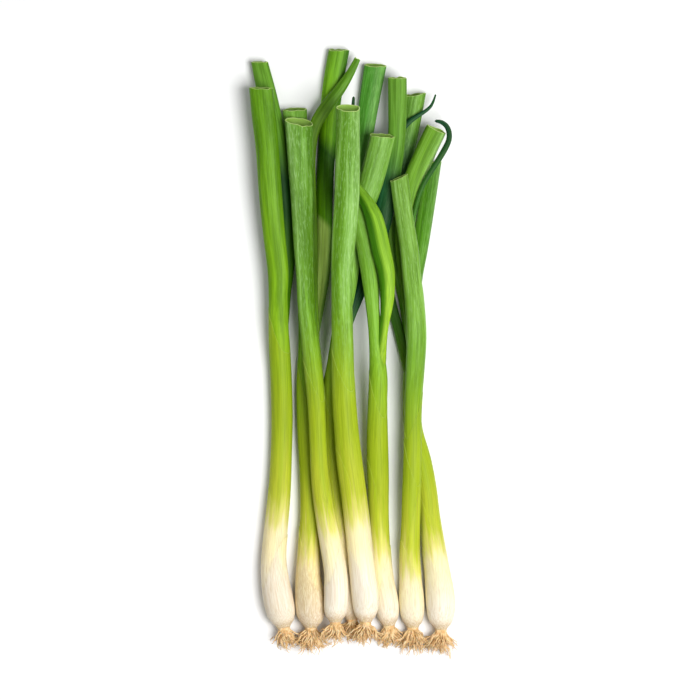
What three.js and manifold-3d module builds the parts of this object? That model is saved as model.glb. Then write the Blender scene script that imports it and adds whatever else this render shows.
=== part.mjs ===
// A bunch of eight spring onions lying on a table, in millimetres.
// +Z is up, the roots are at -Y and the trimmed leaf ends at +Y.
// Each plant has three solids: its roots, its white shank and its green leaves.

import * as THREE from 'three';
import { mergeVertices } from 'three/addons/utils/BufferGeometryUtils.js';
import Module from 'manifold-3d';

const wasm = await Module();
wasm.setup();

// Middle of the bunch's outline, on the axes that the routes below are written in
const MIDDLE_X = 1.0;
const MIDDLE_Y = -1.0;

// How the plants lie on the table and on each other
const SPACING = 2.0; // between stations along a route
const CURVE_STEPS = 30; // between two of a route's points, before its stations are spaced out
const STALK_ROUNDNESS = 0.9; // height of a stalk's section over its width
const LEAF_ROUNDNESS = 0.66; // the hollow leaves are pressed flatter
const FLATTENING = 50; // length past the fork over which they flatten
const CLEARANCE = 0.5; // between plants that rest on each other
const FLOOR_SINK = 0.3; // how far an underside is pressed flat on the table
const BEND_RADIUS = 260; // tightest bend, up or down, of a lying plant
const SMOOTHING = 6; // length over which a height is evened out
const SPARE = 0.1; // lift that makes up for the smoothing
const FADE = 70; // length past the fork over which a leaf finds its own height
const LEAVES_PART_FROM = 10; // past the fork, where one leaf starts to climb the next
const LEAVES_PART_BY = 60; // past the fork, where they lie clear of each other

// Cut ends, forks and faces
const WALL = 0.9; // of a hollow leaf
const HOLLOW_DEPTH = 16;
const HOLLOW_TAPER = 0.7; // width of the hollow's bottom over its mouth
const BURIED = 16; // length of a side leaf inside the stalk that it comes out of
const BURIED_WIDTH = 0.6; // its width there, over the stalk's
const EMERGED = 24; // past the fork, where a side leaf has its full width
const COLOUR_GAP = 0.3; // between the solids of one plant
const RING_ERROR = 0.3; // how far a straight stretch may leave the curve
const RING_STEP = 18; // longest straight stretch
const SIDES = 12;
const THIN_SIDES = 8;
const THIN_WIDTH = 6.5; // a leaf no wider than this has fewer sides

// Roots
const PLATE_THICKNESS = 2.2;
const PLATE_WIDTH = 0.9; // over the shank's end
const PLATE_TAPER = 0.85;
const ROOTLETS = 12; // on each plant
const ROOTLET_LENGTH = [7, 12.5];
const ROOTLET_RADIUS = [0.6, 0.4]; // at the plate and at the end
const ROOTLET_SIDES = 3;
const ROOTLET_STEPS = 3;
const ROOTLET_SUNK = 1.4;
const ROOTLET_RING = 0.75; // how far out on the plate the outermost grow
const ROOTLET_FAN = 0.55; // how far those lean out for each millimetre of length
const ROOTLET_WANDER = 4;
const ROOTLET_WAVE = 1.3; // half waves that it wanders in
const ROOTLET_DROOP = 2.5;
const ROOTLET_CLEARANCE = 0.5; // from the other plants and their rootlets
const ROOTLET_PROBES = 6; // on each step, where that clearance is measured
const ABOVE_TABLE = 0.1;
const SHANK_PROBES = 20; // stations of each shank that rootlets are kept clear of

// Every plant's route, as [x, y, width]: the stalk from the roots to the fork, then each leaf from
// the fork to its end, the lower leaves first. One leaf carries on from the stalk's sheath and the
// others come out of it. A leaf ends in a point, or in a hollow cut that leans back by so many
// degrees and may be skewed to the side.
// The plants are in the order in which they were laid down, the lowest first.
const PLANTS = [
  {
    name: '7',
    greenFrom: -110,
    stalk: [
      [50, -154, 6.5], [50, -148.5, 12.5], [50, -138.5, 15], [48.5, -124, 13.5], [46, -107, 12],
      [44, -91, 10.5], [42.5, -77, 10], [39.3, -60.5, 10], [34.9, -44, 9.5],
      [34.1, -30, 9.5], [34, -16.5, 9.5],
    ],
    leaves: [
      {
        cut: 12,
        skew: 0.3,
        route: [
          [32, 16.5, 7], [26.5, 47, 7.5], [24.5, 71.5, 9], [27, 92.5, 10], [31, 113, 11],
          [34, 129, 11.5], [36, 141.5, 12],
        ],
      },
      {
        pointed: true,
        route: [
          [26, 14, 5.5], [19, 38.5, 8.5], [17, 55, 9], [17.5, 70, 8.5], [20, 88, 7.5],
          [23, 107, 5.5], [27, 119, 4], [33, 126, 3], [40, 130.5, 2.2], [44.5, 134, 1.8],
          [46.5, 138.5, 1.2], [47.5, 142, 1],
        ],
      },
      {
        carriesOn: true,
        cut: 10,
        skew: 0.2,
        route: [
          [35, 16.5, 7], [35.6, 38.5, 8.5], [38.4, 55, 9], [40.5, 69, 9.5], [43, 85, 9.5],
          [46, 105, 9.5],
        ],
      },
    ],
  },
  {
    name: '8',
    greenFrom: -99,
    stalk: [
      [1, -148.5, 6.5], [0.5, -143, 10.5], [0, -135.5, 11.5], [-2, -121, 10.5], [-5, -104.5, 10],
      [-8, -82.5, 9.5], [-10, -60.5, 9], [-10.5, -38.5, 9], [-10, -19, 9.5],
    ],
    leaves: [
      {
        cut: 12,
        route: [
          [-3, 11, 7], [5, 33, 8], [13, 55, 10.5], [18.8, 77, 11.5], [22.5, 96, 11],
          [25.5, 115.5, 10], [26, 135, 10.5], [26, 149.5, 10.5],
        ],
      },
      {
        cut: 15,
        skew: 0.1,
        route: [
          [-6.5, 11, 7], [-4, 36, 8], [-1, 60.5, 8.5], [1.5, 82.5, 9], [5, 104.5, 9.5],
          [8.5, 124, 10.5], [11, 140, 11.5], [14, 158, 12.5],
        ],
      },
      {
        carriesOn: true,
        cut: 14,
        skew: 0.12,
        route: [
          [-4.5, 14, 8], [-0.8, 38.5, 10], [1.5, 60.5, 10.8], [6, 76, 12.6], [11, 91, 13.6],
          [14.6, 104.5, 14], [17.9, 118.5, 14],
        ],
      },
    ],
  },
  {
    name: '2',
    greenFrom: -111,
    stalk: [
      [-21.5, -153, 7], [-21.5, -146.5, 14.5], [-22, -137.5, 15.5], [-23, -124, 13],
      [-22.5, -107, 11.5], [-22, -88, 10.5], [-22.5, -66, 10.5], [-24, -44, 10], [-24.5, -22, 10],
      [-24, -8, 10],
    ],
    leaves: [
      {
        carriesOn: true,
        cut: 14,
        route: [
          [-24.5, 11, 8], [-25, 38.5, 8.5], [-26, 66, 10], [-28, 93.5, 11.5], [-29.5, 115.5, 13],
          [-30.5, 133.5, 13.5],
        ],
      },
      {
        cut: 12,
        skew: 0.15,
        route: [
          [-20, 11, 7], [-15.5, 40.5, 8.5], [-14.2, 66, 9], [-14, 88, 9.5], [-12.8, 110, 10],
          [-11, 132, 11], [-9, 148.5, 11.5], [-6, 166, 11.5],
        ],
      },
    ],
  },
  {
    name: '1',
    greenFrom: -93.5,
    stalk: [
      [-36.5, -153, 7], [-37.5, -146.5, 14], [-39.5, -137.5, 15.5], [-41.5, -125.5, 14.5],
      [-42, -113, 13], [-40.5, -96, 12.5], [-39, -80, 12], [-38, -60.5, 11.5], [-37.5, -38.5, 11.5],
      [-38, -16.5, 11.5], [-39, 5.5, 11.5],
    ],
    leaves: [
      {
        cut: 14,
        skew: -0.2,
        route: [
          [-37.4, 27.5, 9], [-35.2, 50, 9.5], [-35.4, 66, 10], [-36.4, 82.5, 10],
          [-39.5, 110, 10.5],
          [-44.5, 135, 10.5], [-50, 159, 9],
        ],
      },
      {
        carriesOn: true,
        cut: 10,
        skew: -0.1,
        route: [
          [-39.5, 27.5, 10.5], [-39.5, 44, 11.5], [-42, 66, 12], [-44, 88, 12.5], [-45.5, 110, 12.5],
          [-47.5, 129, 13], [-49, 145, 13],
        ],
      },
    ],
  },
  {
    name: '5',
    greenFrom: -112,
    stalk: [
      [21.5, -152, 6.5], [21, -146.5, 11], [20, -138.5, 12.5], [18, -126.5, 11.5], [17, -113, 10.5],
      [16, -93.5, 10.5], [15.5, -71.5, 11.5], [15, -52, 11.5], [15, -33, 10.5], [15.5, -14, 10],
    ],
    leaves: [
      {
        carriesOn: true,
        cut: 10,
        route: [
          [13.5, 11, 7], [11, 38.5, 9], [8.3, 55, 9.3], [5, 70.5, 8.5], [1.5, 87, 7],
          [-0.5, 102, 6],
        ],
      },
      {
        pointed: true,
        route: [
          [18, 8, 5], [20.3, 27.5, 7.5], [20, 41.5, 9.2], [17, 55, 10.6], [13.2, 71.5, 10],
          [8.2, 82, 7.2], [2.8, 90, 5], [-1, 98, 3], [-4, 106, 1.5],
        ],
      },
    ],
  },
  {
    name: '3',
    greenFrom: -99,
    stalk: [
      [-8, -149.5, 6.5], [-8, -144, 11.5], [-7.5, -136.5, 12.5], [-8, -122, 12],
      [-11, -104.5, 11.5], [-14.5, -85, 10.5], [-16.5, -69, 9.5], [-17.5, -49.5, 9],
      [-18.5, -27.5, 9.5], [-20.5, -5.5, 10],
    ],
    leaves: [
      {
        cut: 10,
        route: [
          [-20, 27.5, 5], [-20.5, 55, 5.5], [-21.5, 82.5, 6], [-22, 104.5, 6], [-20, 121, 6.5],
          [-14, 132.5, 7], [-5.5, 143.5, 6], [0.5, 153, 4.5], [4.5, 161, 3.2],
        ],
      },
      {
        carriesOn: true,
        cut: 25,
        skew: -0.2,
        route: [
          [-23.5, 22, 10], [-24.5, 40.5, 10], [-25.5, 60.5, 11.5], [-26, 82.5, 13], [-27, 104.5, 14.5],
          [-28, 126, 15.5],
        ],
      },
    ],
  },
  {
    name: '6',
    greenFrom: -119,
    stalk: [
      [34.5, -153, 6.5], [34.5, -147, 11], [34, -138.5, 12.5], [33.5, -126.5, 11], [33, -110, 10],
      [33.5, -91, 9.5], [34, -71.5, 9.5], [34.5, -55, 9.5], [34.6, -33, 9.5], [35.8, -11, 10.3],
    ],
    leaves: [
      {
        cut: 15,
        route: [
          [34.5, 11, 8.5], [32, 36, 9], [29.8, 58, 10], [31, 77, 11], [35, 93.5, 11.5],
          [41.5, 109, 11.5], [48, 122.5, 11.5],
        ],
      },
      {
        pointed: true,
        route: [
          [36, 16.5, 3.2], [35, 44, 3], [33.5, 63, 2.6], [36, 78.5, 2.4], [39.8, 90, 2.7],
          [45.4, 99.5, 3], [51, 108.5, 3.3], [54.5, 116, 3], [53.5, 122.5, 2.8], [49.5, 125.5, 2.2],
          [45.5, 125.5, 1.1],
        ],
      },
      {
        carriesOn: true,
        cut: 12,
        route: [
          [36.6, 8, 11], [35.4, 27.5, 11], [33.8, 40.5, 10.5], [32.5, 55, 10.5], [30, 71.5, 10],
          [28.5, 82.5, 10], [27, 94.5, 10],
        ],
      },
    ],
  },
  {
    name: '4',
    greenFrom: -93.5,
    stalk: [
      [8.5, -149.5, 6.5], [8.5, -144, 12], [8.5, -136.5, 14], [7, -124, 13.5], [5, -104.5, 13.5],
      [2.5, -82.5, 13.5], [0, -63, 13.5], [-2, -44, 13], [-3.5, -22, 12.5], [-4, 0, 12],
    ],
    leaves: [
      {
        pointed: true,
        route: [[-4, 22, 4], [-2.5, 55, 3.5], [-1, 88, 3], [0.5, 115.5, 3], [2, 138.5, 1.5]],
      },
      {
        carriesOn: true,
        cut: 28,
        route: [
          [-4.5, 22, 11.5], [-4.5, 40.5, 11.5], [-3.5, 58, 13], [-2, 80, 13.5], [-1.5, 104.5, 13.5],
          [-1, 132, 13],
        ],
      },
    ],
  },
];

const UP = new THREE.Vector3(0, 0, 1);

const MATERIALS = {
  roots: new THREE.MeshStandardMaterial({ color: 0xc9a064, roughness: 0.9, metalness: 0 }),
  shank: new THREE.MeshStandardMaterial({ color: 0xf2ecd6, roughness: 0.45, metalness: 0 }),
  leaves: new THREE.MeshStandardMaterial({ color: 0x6f9c3a, roughness: 0.45, metalness: 0 }),
};

// Repeatable random numbers from 0 to 1
function seeded(seed) {
  let state = seed;
  return () => {
    state = (state * 1664525 + 1013904223) % 4294967296;
    return state / 4294967296;
  };
}

// Stations at an even spacing along a smooth curve through a route's points
function follow(route) {
  const points = route.map(([x, y, width]) => new THREE.Vector3(x, y, width));
  const curve = new THREE.CatmullRomCurve3(points, false, 'catmullrom', 0.5);
  const fine = curve.getPoints((route.length - 1) * CURVE_STEPS);
  const stations = [];
  let travelled = 0;
  fine.forEach((point, i) => {
    const before = fine[Math.max(i - 1, 0)];
    const stretch = Math.hypot(point.x - before.x, point.y - before.y);
    while (stations.length * SPACING <= travelled + stretch) {
      const share = stretch > 0 ? (stations.length * SPACING - travelled) / stretch : 0;
      const [x, y, width] = before.clone().lerp(point, share).toArray();
      stations.push({ x, y, z: 0, half: width / 2, travelled: stations.length * SPACING });
    }
    travelled += stretch;
  });
  return stations;
}

// Height at which a station clears others, each as round as it is wide; they count by their share
function heightOver(station, others, share = 1) {
  let height = -Infinity;
  for (const other of others) {
    const reach = station.half + other.half + CLEARANCE;
    const apart = Math.hypot(station.x - other.x, station.y - other.y) / reach;
    if (apart < 1) {
      const climb = (station.rise + other.rise + CLEARANCE) * Math.sqrt(1 - apart * apart);
      height = Math.max(height, other.z + share * climb);
    }
  }
  return height;
}

// The lowest heights that clear the given ones and bend no tighter than a leaf would
function stiffen(heights) {
  const bridged = heights.map((_, i) =>
    Math.max(...heights.map((height, j) => height - ((i - j) * SPACING) ** 2 / (2 * BEND_RADIUS))),
  );
  return bridged.map((_, i) => {
    let sum = 0;
    let weights = 0;
    bridged.forEach((height, j) => {
      const weight = Math.exp(-0.5 * (((i - j) * SPACING) / SMOOTHING) ** 2);
      sum += weight * height;
      weights += weight;
    });
    return sum / weights + SPARE;
  });
}

// Height over width of a section, at a length past the fork
function roundness(past) {
  const flattened = THREE.MathUtils.smoothstep(past, 0, FLATTENING);
  return THREE.MathUtils.lerp(STALK_ROUNDNESS, LEAF_ROUNDNESS, flattened);
}

// Lays one plant on the table and on the stations of the plants already there
function layPlant(plant, lying) {
  const fork = follow(plant.stalk).length - 1;
  const strands = plant.leaves.map((leaf) => follow([...plant.stalk, ...leaf.route]));
  strands.flat().forEach((station) => {
    station.rise = station.half * roundness(station.travelled - fork * SPACING);
  });
  strands.forEach((strand, k) => {
    const lower = strands.slice(0, k).flatMap((other) => other.slice(fork));
    const heights = strand.map((station, i) => {
      const past = (i - fork) * SPACING;
      const share = THREE.MathUtils.smoothstep(past, LEAVES_PART_FROM, LEAVES_PART_BY);
      const overLower = past > 0 ? heightOver(station, lower, share) : -Infinity;
      return Math.max(station.rise - FLOOR_SINK, heightOver(station, lying), overLower);
    });
    stiffen(heights).forEach((height, i) => {
      strand[i].z = height;
    });
  });
  const stalk = strands[0].slice(0, fork + 1).map((_, i) => Math.max(...strands.map((s) => s[i].z)));
  for (const strand of strands) {
    const forkLift = stalk[fork] - strand[fork].z;
    strand.forEach((station, i) => {
      const fade = 1 - THREE.MathUtils.smoothstep((i - fork) * SPACING, 0, FADE);
      station.z = i <= fork ? stalk[i] : station.z + forkLift * fade;
    });
  }
  return { ...plant, fork, strands };
}

// Lays all the plants, in their order
function layBunch(plants) {
  const lying = [];
  return plants.map((plant) => {
    const laid = layPlant(plant, lying);
    lying.push(...laid.strands.flat());
    return laid;
  });
}

// Stations that hold a curve's shape within the ring error
function ringIndices(stations, first, last) {
  const keys = ['x', 'y', 'z', 'half'];
  const straight = (from, to) => {
    for (let i = from + 1; i < to; i++) {
      const share = (i - from) / (to - from);
      const off = keys.map((key) => {
        const line = stations[from][key] + (stations[to][key] - stations[from][key]) * share;
        return stations[i][key] - line;
      });
      if (Math.hypot(...off) > RING_ERROR) return false;
    }
    return true;
  };
  const kept = [first];
  while (kept.at(-1) < last) {
    const from = kept.at(-1);
    let to = from + 1;
    while (to < last && (to + 1 - from) * SPACING <= RING_STEP && straight(from, to + 1)) to++;
    kept.push(to);
  }
  return kept;
}

// Centre and axes of a station's section
function sectionAt(stations, i) {
  const from = stations[Math.max(i - 1, 0)];
  const to = stations[Math.min(i + 1, stations.length - 1)];
  const along = new THREE.Vector3(to.x - from.x, to.y - from.y, to.z - from.z).normalize();
  const across = new THREE.Vector3().crossVectors(along, UP).normalize();
  const up = new THREE.Vector3().crossVectors(across, along);
  return { centre: new THREE.Vector3(stations[i].x, stations[i].y, stations[i].z), along, across, up };
}

// Turns a profile of [relative radius, station] round and bends it along the stations. The end
// face leans back by lean for each millimetre of height, and runs on by skew for each millimetre
// to the right. Nothing goes below the table.
function bendProfile(stations, profile, sides, { lean, skew } = { lean: 0, skew: 0 }) {
  const points = profile.map(([radius, i]) => new THREE.Vector2(radius, i));
  const geometry = new THREE.LatheGeometry(points, sides, Math.PI / sides);
  geometry.deleteAttribute('normal');
  geometry.deleteAttribute('uv');
  const position = geometry.getAttribute('position');
  const vertex = new THREE.Vector3();
  const end = stations.length - 1;
  for (let v = 0; v < position.count; v++) {
    vertex.fromBufferAttribute(position, v);
    const i = Math.round(vertex.y);
    const { centre, along, across, up } = sectionAt(stations, i);
    const sideways = vertex.x * stations[i].half;
    const upwards = vertex.z * stations[i].rise;
    centre.addScaledVector(across, sideways).addScaledVector(up, upwards);
    if (i === end) centre.addScaledVector(along, skew * sideways - lean * upwards);
    position.setXYZ(v, centre.x, centre.y, Math.max(centre.z, 0));
  }
  return geometry;
}

// A closed solid from a geometry whose faces meet
function toSolid(geometry) {
  const merged = mergeVertices(geometry, 1e-4);
  const triangles = [];
  const { array } = merged.index;
  for (let i = 0; i < array.length; i += 3) {
    const [a, b, c] = array.slice(i, i + 3);
    if (a !== b && b !== c && c !== a) triangles.push(a, b, c);
  }
  return new wasm.Manifold(
    new wasm.Mesh({
      numProp: 3,
      vertProperties: new Float32Array(merged.getAttribute('position').array),
      triVerts: new Uint32Array(triangles),
    }),
  );
}

// A named mesh from a solid
function toMesh(solid, name, material) {
  const { vertProperties, triVerts } = solid.getMesh();
  const geometry = new THREE.BufferGeometry();
  geometry.setAttribute('position', new THREE.BufferAttribute(new Float32Array(vertProperties), 3));
  geometry.setIndex(new THREE.BufferAttribute(new Uint32Array(triVerts), 1));
  geometry.computeVertexNormals();
  const mesh = new THREE.Mesh(geometry, material);
  mesh.name = name;
  return mesh;
}

// Station at which a plant's white shank turns green
function greenStation(plant) {
  return plant.strands[0].findIndex((station) => station.y > plant.greenFrom);
}

// Stations from one index to another, the first moved on by a gap so that two solids don't touch
function cutStations(stations, first, last, gap = 0) {
  const part = stations.slice(first, last + 1).map((station) => ({ ...station }));
  const share = gap / SPACING;
  for (const key of ['x', 'y', 'z', 'half', 'rise']) {
    part[0][key] += (part[1][key] - part[0][key]) * share;
  }
  return part;
}

// The white shank, from the root plate to where the green starts
function shankSolid(plant) {
  const stations = cutStations(plant.strands[0], 0, greenStation(plant));
  const rings = ringIndices(stations, 0, stations.length - 1);
  const profile = [[0, 0], ...rings.map((i) => [1, i]), [0, rings.at(-1)]];
  return toSolid(bendProfile(stations, profile, SIDES));
}

// Profile of a leaf's end: a point, or the rim and the inside of a hollow cut
function leafEnd(leaf, stations) {
  const end = stations.length - 1;
  if (leaf.pointed) return [[0, end]];
  const inner = 1 - WALL / stations[end].half;
  const bottom = end - Math.round(HOLLOW_DEPTH / SPACING);
  return [[inner, end], [inner, bottom + 1], [inner * HOLLOW_TAPER, bottom], [0, bottom]];
}

// One leaf: the one that carries on from the stalk starts where the green does, and a side leaf
// starts inside the stalk, narrow enough to be buried there
function leafSolid(plant, leaf, strand) {
  const start = leaf.carriesOn ? greenStation(plant) : plant.fork - BURIED / SPACING;
  const stations = cutStations(strand, start, strand.length - 1, leaf.carriesOn ? COLOUR_GAP : 0);
  if (!leaf.carriesOn) {
    stations.forEach((station, i) => {
      const grown = THREE.MathUtils.smoothstep(i * SPACING, 0, BURIED + EMERGED);
      const width = THREE.MathUtils.lerp(BURIED_WIDTH, 1, grown);
      station.half *= width;
      station.rise *= width;
    });
  }
  const widest = Math.max(...leaf.route.map(([, , width]) => width));
  const rings = ringIndices(stations, 0, stations.length - 1);
  const profile = [[0, 0], ...rings.map((i) => [1, i]), ...leafEnd(leaf, stations)];
  const cut = { lean: Math.tan(THREE.MathUtils.degToRad(leaf.cut ?? 0)), skew: leaf.skew ?? 0 };
  return toSolid(bendProfile(stations, profile, widest > THIN_WIDTH ? SIDES : THIN_SIDES, cut));
}

// All the green of a plant in one solid
function leavesSolid(plant) {
  const leaves = plant.leaves.map((leaf, k) => leafSolid(plant, leaf, plant.strands[k]));
  return leaves.reduce((joined, leaf) => joined.add(leaf));
}

// The plate that a plant's roots grow from, as stations that run on past the shank's end
function plateStations(plant) {
  const { centre, along } = sectionAt(plant.strands[0], 0);
  const { half, rise } = plant.strands[0][0];
  return [COLOUR_GAP, COLOUR_GAP + PLATE_THICKNESS].map((distance) => {
    const { x, y, z } = centre.clone().addScaledVector(along, -distance);
    return { x, y, z, half: half * PLATE_WIDTH, rise: rise * PLATE_WIDTH };
  });
}

// One rootlet's stations: it fans out from the plate, wanders and droops
function rootletStations(plant, random) {
  const { along, across, up } = sectionAt(plant.strands[0], 0);
  const plate = plateStations(plant)[1];
  const turn = 2 * Math.PI * random();
  const out = Math.sqrt(random());
  const length = THREE.MathUtils.lerp(...ROOTLET_LENGTH, random());
  const fan = new THREE.Vector3()
    .addScaledVector(across, Math.cos(turn) * out)
    .addScaledVector(up, Math.sin(turn) * out);
  const aim = fan.clone().multiplyScalar(ROOTLET_FAN).sub(along).normalize();
  const wander = new THREE.Vector3(random() - 0.5, random() - 0.5, random() - 0.5);
  return Array.from({ length: ROOTLET_STEPS + 1 }, (_, i) => {
    const share = i / ROOTLET_STEPS;
    const point = new THREE.Vector3(plate.x, plate.y, plate.z)
      .addScaledVector(fan, plate.half * ROOTLET_RING)
      .addScaledVector(aim, length * share - ROOTLET_SUNK)
      .addScaledVector(wander, ROOTLET_WANDER * Math.sin(Math.PI * share * ROOTLET_WAVE))
      .addScaledVector(UP, -ROOTLET_DROOP * share * share);
    const radius = THREE.MathUtils.lerp(...ROOTLET_RADIUS, share);
    const z = Math.max(point.z, radius + ABOVE_TABLE);
    return { x: point.x, y: point.y, z, half: radius, rise: radius };
  });
}

// Points close together along a rootlet, to measure its distance from others
function alongRootlet(stations) {
  const points = [];
  for (let i = 0; i < stations.length - 1; i++) {
    for (let k = 0; k < ROOTLET_PROBES; k++) {
      const point = { half: stations[i].half };
      for (const key of ['x', 'y', 'z']) {
        point[key] = THREE.MathUtils.lerp(stations[i][key], stations[i + 1][key], k / ROOTLET_PROBES);
      }
      points.push(point);
    }
  }
  return points;
}

// True if a rootlet keeps its clearance from everything in the way
function isClear(points, obstacles) {
  return points.every((point) =>
    obstacles.every((other) => {
      const distance = Math.hypot(point.x - other.x, point.y - other.y, point.z - other.z);
      return distance > point.half + other.half + ROOTLET_CLEARANCE;
    }),
  );
}

// The root plate and its rootlets, clear of the other plants and of the rootlets made before
function rootsSolid(plant, plants, rootletPoints) {
  const random = seeded(100 + Number(plant.name));
  const others = plants.filter((other) => other !== plant);
  const shanks = others.flatMap((other) => other.strands[0].slice(0, SHANK_PROBES));
  const obstacles = [...shanks, ...rootletPoints];
  const plate = plateStations(plant);
  let solid = toSolid(bendProfile(plate, [[0, 0], [1, 0], [PLATE_TAPER, 1], [0, 1]], SIDES));
  let made = 0;
  while (made < ROOTLETS) {
    const stations = rootletStations(plant, random);
    const points = alongRootlet(stations);
    if (isClear(points, obstacles)) {
      const profile = [[0, 0], ...stations.map((_, i) => [1, i]), [0, ROOTLET_STEPS]];
      solid = solid.add(toSolid(bendProfile(stations, profile, ROOTLET_SIDES)));
      rootletPoints.push(...points);
      made++;
    }
  }
  return solid;
}

const bunch = new THREE.Group();
bunch.name = 'spring_onion_bunch';
bunch.position.set(-MIDDLE_X, -MIDDLE_Y, 0);

const plants = layBunch(PLANTS);
const rootletPoints = [];
for (const plant of plants) {
  const roots = rootsSolid(plant, plants, rootletPoints);
  bunch.add(toMesh(roots, `roots_${plant.name}`, MATERIALS.roots));
  bunch.add(toMesh(shankSolid(plant), `shank_${plant.name}`, MATERIALS.shank));
  bunch.add(toMesh(leavesSolid(plant), `leaves_${plant.name}`, MATERIALS.leaves));
}

export default bunch;
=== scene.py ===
# A bunch of eight spring onions lying on a table, for Blender 4.5.
#
# Axes: metres, +Z up, roots at -Y and trimmed leaf ends at +Y. The routes and the lengths in the
# constants are in millimetres. Inputs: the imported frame, and the settings of the property groups
# below.
#
# Pieces: plant_1 to plant_8, each a sheath with its leaves; skin_1 to skin_8, the papery
# outer skins of the shanks; roots_tuft_1 to roots_tuft_8, the root plates with their rootlets.

import math

import bpy
import numpy as np
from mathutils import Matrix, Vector


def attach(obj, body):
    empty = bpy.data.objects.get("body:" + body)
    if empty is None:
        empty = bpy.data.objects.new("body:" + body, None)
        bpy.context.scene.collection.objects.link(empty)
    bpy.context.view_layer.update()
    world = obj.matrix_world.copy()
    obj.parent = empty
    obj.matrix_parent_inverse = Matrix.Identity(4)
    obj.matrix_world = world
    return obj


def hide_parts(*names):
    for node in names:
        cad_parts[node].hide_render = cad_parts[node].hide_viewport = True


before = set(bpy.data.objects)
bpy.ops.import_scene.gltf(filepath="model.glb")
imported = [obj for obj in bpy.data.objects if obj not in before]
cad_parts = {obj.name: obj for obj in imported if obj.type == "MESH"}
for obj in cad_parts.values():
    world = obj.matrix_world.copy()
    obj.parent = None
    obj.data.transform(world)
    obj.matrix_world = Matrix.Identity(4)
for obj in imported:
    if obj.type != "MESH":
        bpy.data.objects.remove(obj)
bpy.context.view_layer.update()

bl_info = {
    "name": "Spring Onion Bunch",
    "version": (1, 0, 0),
    "blender": (4, 5, 0),
    "location": "3D View > Sidebar > Spring Onions",
    "description": "Builds a bunch of eight spring onions with hollow cut leaves",
    "category": "Add Mesh",
}

MILLIMETRES = 1000.0  # in a metre

# Middle of the bunch's outline, on the axes of the routes
MIDDLE = np.array([1.0, -1.0])

# How the plants lie, the same rule and values as in the solids
SPACING = 2.0
CURVE_STEPS = 30
STALK_ROUNDNESS = 0.9
LEAF_ROUNDNESS = 0.66
FLATTENING = 50.0
CLEARANCE = 0.5
FLOOR_SINK = 0.3
BEND_RADIUS = 260.0
SMOOTHING = 6.0
SPARE = 0.1
FADE = 70.0
LEAVES_PART_FROM = 10.0
LEAVES_PART_BY = 60.0
BURIED = 16.0
BURIED_WIDTH = 0.6
EMERGED = 24.0

# Skins of the tubes
EVENING_PASSES = 3  # that even out a strand
NARROW_END = 4.5  # a leaf whose end is no wider has half the faces
THINNEST = 0.02  # half width that a ring keeps
FLOOR_GAP = 0.02  # between a skin and the table
START_RINGS = (0.45, 0.12)  # inset over the half width, where a stalk starts
CUT_STRETCH = 14  # before a cut end, where its slant sets in
TIP_RINGS = (0.0, 0.3, 0.65, 0.9)  # how far each has closed in on a pointed tip
HOLLOW_TOP = 0.8  # below the rim, where the rings of a hollow start
HOLLOW_RINGS = (0.0, 0.2, 0.45, 0.8)  # how far each has closed in on a hollow's bottom
HOLLOW_DIP = 0.5  # of the bottom, over the half width
NICKS = 19  # round a cut end
NICK_DEPTHS = (0.12, 0.2, 0.5)

# Rings over a cut end's rim: inset over the wall's thickness, way ahead, rim and inside colour
RIM_RINGS = (
    (0.0, -0.12, 0.0, 0.0), (0.0, 0.0, 0.8, 0.0), (0.2, 0.12, 1.0, 0.0),
    (0.8, 0.12, 1.0, 0.5), (1.0, 0.0, 0.7, 1.0), (1.0, -0.2, 0.0, 1.0),
)

# Facets all round a stalk or leaf, with depths over its half width
FACET_WAVES = (2, 3, 5)
STALK_FACETS = 0.012
LEAF_FACETS = 0.02  # this much deeper past the fork
FACETS_DEEPEN = (-10, 40)  # from the fork, where they get deeper
WIDTH_WANDER = 0.012

# Lengths over which the facets' turn, their depth, the width and a crease's turn change
FACET_PITCH = 40
DEPTH_PITCH = 25
WIDTH_PITCH = 18
CREASE_PITCH = 60

# Creases over the top of a leaf
CREASES = 3
CREASE_TURNS = (0.15, 0.85)  # in half turns, from right to left
CREASE_LENGTHS = (35, 90)
CREASE_WIDTHS = (0.16, 0.3)  # in radians
CREASE_FADE = 18
LAST_CREASE = 40  # before a leaf's end

# Sheaths round a stalk
SHEATH_LEVEL = 0.22  # of each over the one inside it
SHEATH_SLANT = 26  # of its end, and how far the next one ends below it
SHEATH_PAST_FORK = 4
SHEATH_STEP = 1.5
SHEATH_FROM = 0.3  # the roots
SHEATH_SUNK = 0.4  # in the stalk where it starts
SHEATH_RISEN = 3.0  # from the roots, where it lies at its level
SHEATH_EDGE = 0.25  # how pale
SHEATH_WAVES = ((5, 0.4, 1), (9, 0.2, -1))  # round its edge: count, size, sign of the phase
SHEATH_NOTCH = 1.5  # how narrow the notch is, across from its longest side
FORK_SEEN = 45  # past the fork, where a leaf shows to which side it went
FORK_TURNS = (0.25, 0.75)  # of a leaf that forks off to the right or left, in half turns
SKIN_EDGE = 0.2
SKIN_LENGTHS = (1.0, 0.6)  # of a shank's papery skins over the setting, the inner one first

# The root plate's rings: way towards the shank, and radius over the stalk's
PLATE_RINGS = (
    (-2.8, 0.25), (-2.6, 0.55), (-2.0, 0.8), (-1.2, 0.92), (-0.3, 0.95), (0.8, 0.92), (1.5, 0.7),
)
PLATE_SIDES = 32
ROOTS_FROM = 2.0  # below the shank's end, where the rootlets fan out

# How green a plant is, at lengths past the place where it starts to turn green
GREENING = ((-36, -8, 16, 50, 100, 140), (0.0, 0.12, 0.42, 0.6, 0.82, 1.0))
SHEATH_GREEN = 0.74  # the greenest that a sheath gets
WHITE_FADE = 16  # before and past that place, where dry skin gives way to fresh
TAN_COLLAR = (0.5, 7)  # from the roots, where their tan fades out
BLADE_FROM = 30  # before the fork, where a leaf's own colours set in

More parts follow.
